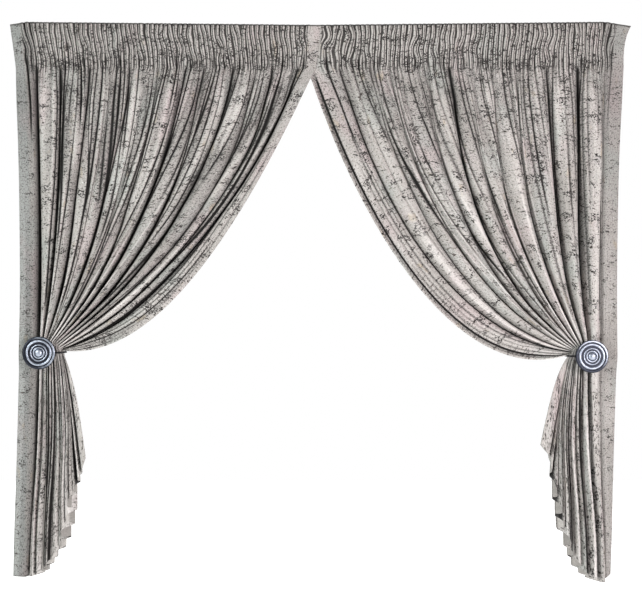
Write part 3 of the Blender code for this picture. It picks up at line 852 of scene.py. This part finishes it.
def scratch_marks(look, cloth, up, marked, gather):
    """Loops, short strokes and blots in clusters, as the crackle of the cloth's pattern."""
    push = look.noise(cloth, 55.0, output=1)
    bent = look.scaled(push, (0.018, 0.018, 0.0), cloth)
    loops = look.cells(bent, 82.0, "DISTANCE_TO_EDGE")
    strokes = look.cells(look.scaled(bent, (22.0, 72.0, 1.0)), 1.0, "DISTANCE_TO_EDGE")
    foot = up.ramp(CUT_LENGTH - 0.125, CUT_LENGTH - 0.080, 0.050, 0.0)
    cluster = look.stretched(cloth, (13.0, 18.0, 1.0), detail=3.0, rough=0.6)
    cluster = cluster - 0.09 * (1.0 - marked) + foot * gather.ramp(0.05, 0.5)
    broken = look.noise(cloth, 85.0, 1.0)
    apart = look.stretched(cloth, (24.0, 78.0, 1.0), (7.0, 3.0, 0.0), 1.0)
    loop = loops.ramp(0.13, 0.21, 1.0, 0.0) * cluster.ramp(0.56, 0.59) * broken.ramp(0.45, 0.50)
    stroke = strokes.ramp(0.08, 0.14, 1.0, 0.0) * apart.ramp(0.56, 0.60)
    blots = look.noise(bent, 105.0, 1.0).ramp(0.61, 0.65) * cluster.ramp(0.53, 0.57)
    return loop.most(stroke * cluster.ramp(0.42, 0.50)).most(blots), cluster


def lay_ink(look, cloth, marks, cluster):
    """Lay the marks on the face in brown to black, with a few pale flecks."""
    ink = look.mix(cluster.ramp(0.48, 0.56), (0.055, 0.042, 0.036), (0.008, 0.006, 0.006))
    look.lay(marks, ink)
    flecks = look.cells(cloth, 52.0, "F1").ramp(0.09, 0.15, 1.0, 0.0)
    look.lay(flecks * look.noise(cloth, 21.0).ramp(0.66, 0.71), (0.80, 0.80, 0.78))


def lay_dark_edge_and_pleat_shade(look, cloth, up, pleat, gather):
    """Darken the top edge, and paint shade in the pleats' hollows where they are gathered."""
    look.lay(up.ramp(CUT_LENGTH - 0.0078, CUT_LENGTH - 0.0050, 0.0, 0.85), (0.085, 0.085, 0.08))
    broken = look.stretched(cloth, (70.0, 14.0, 1.0), detail=1.0)
    wider = up.ramp(CUT_LENGTH - 0.060, CUT_LENGTH - 0.025, 0.0, 0.045)
    whole = (pleat.beside(0.5) - wider).ramp(0.10, 0.22, 1.0, 0.0)
    halved = (pleat + 0.11).beside(0.25).ramp(0.05, 0.13, 1.0, 0.0)
    whole = whole * broken.ramp(0.34, 0.50, 0.80, 1.0)
    halved = halved * broken.ramp(0.44, 0.60, 0.95, 0.45)
    # Painted shade in the hollows of the gathered pleats.
    strokes = whole.most(halved).most(0.08) * gather.ramp(0.0, 0.9, 0.0, 0.95)
    look.lay(strokes, (0.012, 0.011, 0.010))


def lay_shade(look, cloth, height, marked):
    """Speck the face, paint shade into its valleys and creases, and paint highlights on its crests.
    """
    # Dark specks: partly marks of the cloth, partly painted shade, as they grow thicker in the
    # hollows.
    speck = look.noise(cloth, 125.0, 2.0, 0.75) + height.ramp(0.2, 1.0, 0.12, 0.0)
    speck = speck - 0.10 * (1.0 - marked)
    look.lay(speck.ramp(0.60, 0.66, 0.0, 0.85), INK)
    place = look.node("ShaderNodeTexCoord", output="Object")
    in_tail = look.axis(place, 2).ramp(-1.72, -1.56, 0.9, 0.0)
    dots = look.stretched(place, (150.0, 150.0, 62.0), detail=1.0).ramp(0.62, 0.66)
    look.lay(dots * in_tail * marked.ramp(0.6, 0.9), INK)
    # Painted shade in the hollows, near black deep in the valleys, and a painted highlight where
    # the height is over 1.
    look.lay(height.ramp(0.34, 0.95, 0.50, 0.0), (0.064, 0.061, 0.058))
    look.lay(height.ramp(0.20, 0.48, 1.0, 0.0), (0.006, 0.0055, 0.005))
    look.lay(height.ramp(1.0, 1.7, 0.0, 0.60), (0.72, 0.70, 0.675))


def lay_sewing(look, cloth, up):
    """The gathering tape with its cords, and the stitches of the tape and of the hems."""
    across = look.axis(cloth, 0)
    tape = up.ramp(CUT_LENGTH - TAPE_FOOT, CUT_LENGTH - TAPE_FOOT + 0.001)
    tape = tape * up.ramp(CUT_LENGTH - TAPE_TOP - 0.001, CUT_LENGTH - TAPE_TOP, 1.0, 0.0)
    ribbed = across.beside(0.0015).ramp(0.0, 0.0015, 0.86, 1.0)
    look.lay(tape, look.mix(ribbed, (0.30, 0.295, 0.28), (0.50, 0.49, 0.465)))
    floats = across.beside(0.010).ramp(0.003, 0.004)
    for used in TAPE_CORDS:
        cord = up.far_from(CUT_LENGTH - used).ramp(0.0014, 0.0022, 0.9, 0.0)
        look.lay(cord * floats, (0.62, 0.61, 0.58))
    stitch = across.beside(0.0025).ramp(0.0008, 0.0012)
    for used in (TAPE_TOP + 0.003, TAPE_FOOT - 0.003, CUT_LENGTH - BOTTOM_HEM):
        row = up.far_from(CUT_LENGTH - used).ramp(0.0008, 0.0014, 0.9, 0.0)
        look.lay(row * stitch, (0.14, 0.135, 0.13))


def velvet_relief(look, cloth, nap, marks):
    """The small relief of the cloth: its streaks, its nap, its weave and the sunken marks."""
    weave = look.stretched(cloth, (900.0, 900.0, 1.0), detail=1.0)
    streak = look.stretched(cloth, (120.0, 2.6, 1.0), detail=3.0, rough=0.65)
    normal = look.bump(streak, 0.70, 0.0090)
    normal = look.bump(nap, 0.22, 0.0008, normal)
    normal = look.bump(weave, 0.12, 0.0004, normal)
    return look.bump(1.0 - marks, 0.30, 0.0010, normal)


def velvet(name, face=True):
    """Taupe grey velvet with a crackle of dark scratches; its reverse is plainer and duller."""
    look = Finish(name, **{"Metallic": 0.0, "Sheen Weight": 0.08, "Sheen Roughness": 0.35,
                           "Sheen Tint": (0.95, 0.94, 0.92), "Specular IOR Level": 0.20})
    cloth = look.node("ShaderNodeUVMap", uv_map="cloth")
    up = look.axis(cloth, 1)
    height, pleat, gather, marked = (look.written(value) for value in SHADE_AND_PATTERN_VALUES)
    tone = look.noise(cloth, 2.6, 4.0, 0.6)
    nap = look.stretched(cloth, (420.0, 60.0, 1.0), rough=0.6)
    marks, cluster = scratch_marks(look, cloth, up, marked, gather)

    lay_tones(look, cloth, tone, nap)
    # Painted highlight on the crest beside each gathered pleat.
    look.lay((pleat + 0.30).beside(0.25).ramp(0.0, 0.12, 0.62, 0.0) * gather, (0.62, 0.60, 0.57))
    if face:
        lay_ink(look, cloth, marks, cluster)
        lay_dark_edge_and_pleat_shade(look, cloth, up, pleat, gather)
        lay_shade(look, cloth, height, marked)
    else:
        look.lay(marks * 0.35, (0.16, 0.15, 0.14))
        look.lay(0.45, (0.44, 0.42, 0.39))
        lay_dark_edge_and_pleat_shade(look, cloth, up, pleat, gather)
        # Painted shade on the reverse, in the hollows behind the ridges of the face.
        look.lay(height.ramp(0.4, 1.0, 0.0, 0.5), (0.06, 0.055, 0.05))
        lay_sewing(look, cloth, up)
    rough = 0.62 + 0.25 * tone - 0.18 * marks
    normal = velvet_relief(look, cloth, nap, marks)
    look.put(look.surface, {"Base Color": look.colour, "Roughness": rough, "Normal": normal})
    return look.material


def aged_silver():
    """Satin silver, an antique wash dark in its grooves and a little in patches, painted shade on
    one rim side.
    """
    look = Finish("aged_silver", **{"Metallic": 1.0, "Specular IOR Level": 0.5})
    place = look.node("ShaderNodeTexCoord", output="Object")
    height = look.written("height")
    patch = look.noise(place, 55.0, 4.0, 0.6)
    grain = look.noise(place, 900.0, 2.0)
    bright = look.mix(patch.ramp(0.35, 0.65), (0.30, 0.335, 0.395), (0.43, 0.47, 0.545))
    # The height values make the wash dark in the grooves and give painted shade to one side of the
    # rim.
    wash = height + 0.30 * (patch - 0.5)
    colour = look.mix(wash.ramp(0.25, 0.75, 0.95, 0.0), bright, (0.016, 0.018, 0.026))
    look.put(look.surface, {"Base Color": colour, "Normal": look.bump(grain, 0.08, 0.0003),
                            "Roughness": 0.36 + 0.16 * patch})
    return look.material


def dark_steel():
    """Dark plain steel with a fine grain."""
    look = Finish("dark_steel", **{"Metallic": 0.0, "Specular IOR Level": 0.30})
    grain = look.noise(look.node("ShaderNodeTexCoord", output="Object"), 900.0)
    colour = look.mix(grain, (0.004, 0.004, 0.005), (0.012, 0.012, 0.014))
    look.put(look.surface, {"Base Color": colour, "Normal": look.bump(grain, 0.1, 0.0004),
                            "Roughness": 0.42 + 0.2 * grain})
    return look.material


WHITE = (1.0, 1.0, 1.0, 1.0)
# How bright the surround is to the camera, and to the curtains.
SEEN_SURROUND = 1.0
SOFT_SURROUND = 0.27
# Each square lamp: its place, its power in watts and its colour. They aim at LIT_POINT.
LAMPS = {
    "left_lamp": ((-4.8, -3.6, 0.8), 305.0, (0.96, 1.0, 0.98)),
    "right_lamp": ((3.8, -4.6, -0.6), 350.0, (1.0, 0.925, 0.94)),
    "back_lamp": ((1.5, 5.0, 2.8), 260.0, (1.0, 1.0, 1.0)),
}
LAMP_SIZE = 1.6
LIT_POINT = (0.0, 0.0, -1.2)


def set_surround():
    """A white surround that is softer on the curtains than it looks to the camera."""
    world = bpy.data.worlds.new("surround")
    world.use_nodes = True
    nodes = world.node_tree.nodes
    links = world.node_tree.links
    back = nodes["Background"]
    soft = nodes.new("ShaderNodeBackground")
    for node, strength in ((back, SEEN_SURROUND), (soft, SOFT_SURROUND)):
        node.inputs["Color"].default_value = WHITE
        node.inputs["Strength"].default_value = strength
    rays = nodes.new("ShaderNodeLightPath")
    both = nodes.new("ShaderNodeMixShader")
    links.new(rays.outputs["Is Camera Ray"], both.inputs[0])
    links.new(soft.outputs[0], both.inputs[1])
    links.new(back.outputs[0], both.inputs[2])
    links.new(both.outputs[0], nodes["World Output"].inputs["Surface"])
    bpy.context.scene.world = world
    bpy.context.scene.view_settings.view_transform = "Standard"


def set_lamps():
    """A broad lamp on each side of the camera and one behind the curtains."""
    for name, (place, power, colour) in LAMPS.items():
        lamp = bpy.data.lights.new(name, "AREA")
        lamp.shape = "SQUARE"
        lamp.size = LAMP_SIZE
        lamp.energy = power
        lamp.color = colour
        thing = put_in_scene(name, lamp)
        thing.location = place
        aim = np.array(LIT_POINT) - np.array(place)
        thing.rotation_euler = (math.atan2(math.hypot(aim[0], aim[1]), -aim[2]), 0.0,
                                math.atan2(aim[1], aim[0]) - math.pi / 2)


# The photograph's size in pixels, the size of a pixel at y = 0 and the pixel of the origin.
PHOTO = (642, 600)
PIXEL = 0.0045
MIDDLE = (315.5, 24.0)
CAMERA_AWAY = 6.0
SENSOR = 36.0
FLOOR_Z = -2.60


def set_camera():
    """Face the curtains square on from six metres, with the photograph's frame at y = 0."""
    lens = bpy.data.cameras.new("camera")
    lens.sensor_width = SENSOR
    lens.lens = SENSOR * CAMERA_AWAY / (PHOTO[0] * PIXEL)
    camera = put_in_scene("camera", lens)
    camera.location = ((PHOTO[0] / 2 - MIDDLE[0]) * PIXEL, -CAMERA_AWAY,
                       -(PHOTO[1] / 2 - MIDDLE[1]) * PIXEL)
    camera.rotation_euler = (math.pi / 2, 0.0, 0.0)
    bpy.context.scene.camera = camera


def lay_floor():
    """A pale floor a little under the hems."""
    bm = bmesh.new()
    bmesh.ops.create_grid(bm, x_segments=1, y_segments=1, size=4.0)
    bmesh.ops.translate(bm, verts=bm.verts, vec=(0.0, 0.0, FLOOR_Z))
    mesh = mesh_from(bm, "floor")
    look = Finish("pale_floor", **{"Base Color": (0.93, 0.93, 0.93), "Roughness": 0.9,
                                   "Emission Color": (1.0, 1.0, 1.0), "Emission Strength": 0.62})
    mesh.materials.append(look.material)
    put_in_scene("floor", mesh)


# How far the rod runs into its plate and disc, its room round the cloth and its bends.
ROD_SUNK = 0.0003
ROD_ROOM = 0.0005
ROD_BEND = 0.014
BEND_STEPS = 9


def rounded(corners):
    """A line of (x, y) corners, with each corner that lies between two others rounded."""
    points = [corners[0]]
    for before, corner, after in zip(corners, corners[1:], corners[2:]):
        into = corner - before
        out = after - corner
        radius = min(ROD_BEND, 0.9 * np.linalg.norm(into), 0.9 * np.linalg.norm(out))
        into = into / np.linalg.norm(into)
        out = out / np.linalg.norm(out)
        for angle in np.linspace(0.0, math.pi / 2, BEND_STEPS + 1):
            points.append(corner - into * radius * (1 - math.sin(angle))
                          + out * radius * (1 - math.cos(angle)))
    return points + [corners[-1]]


def rod_curve(name, curtain, material):
    """The hooked rod from the wall plate, round the bundle and out to the disc."""
    from_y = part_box(f"{name}_plate")[0].y - ROD_SUNK
    to_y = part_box(f"{name}_disc")[1].y + ROD_SUNK
    near = curtain["disc_x"]
    far = curtain["hook_x"]
    reach = WAIST + CLOTH / 2 + ROD_ROOM + ROD_RADIUS
    points = rounded(np.array([(near, from_y), (near, reach), (far, reach), (far, -reach),
                               (near, -reach), (near, to_y)]))
    curve = bpy.data.curves.new(f"{name}_rod", "CURVE")
    curve.dimensions = "3D"
    curve.bevel_depth = ROD_RADIUS
    curve.bevel_resolution = 6
    curve.use_fill_caps = True
    spline = curve.splines.new("POLY")
    spline.points.add(len(points) - 1)
    for point, (x, y) in zip(spline.points, points):
        point.co = (x, y, curtain["holdback_z"], 1.0)
    curve.materials.append(material)
    return put_in_scene(f"{name}_rod", curve)


def finish_curtain(side, curtain, front, reverse):
    """Put the gathered sheet in place of a curtain's solid."""
    panel = make_panel(side, curtain, (front, reverse, front))
    stand_in(panel, f"{side}_panel")


def finish_holdback(name, curtain, silver, steel):
    """Put the turned disc and the bent rod in place of their solids, and finish the plate."""
    centre = (curtain["disc_x"], curtain["holdback_z"])
    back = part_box(f"{name}_disc")[1].y
    disc = spun(f"{name}_turned_disc", disc_profile(back), centre, silver)
    shade_grooves(disc.data, centre, back - DISC_FACE, curtain["shaded_rim_side"])
    stand_in(disc, f"{name}_disc")
    stand_in(rod_curve(name, curtain, steel), f"{name}_arm")
    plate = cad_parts[f"{name}_plate"].data
    plate.materials.clear()
    plate.materials.append(steel)


def main():
    set_camera()
    set_surround()
    set_lamps()
    lay_floor()
    front = velvet("velvet_face")
    reverse = velvet("velvet_reverse", face=False)
    silver = aged_silver()
    steel = dark_steel()
    for side, curtain in CURTAINS.items():
        finish_curtain(side, curtain, front, reverse)
        finish_holdback(f"{side}_holdback", curtain, silver, steel)


main()
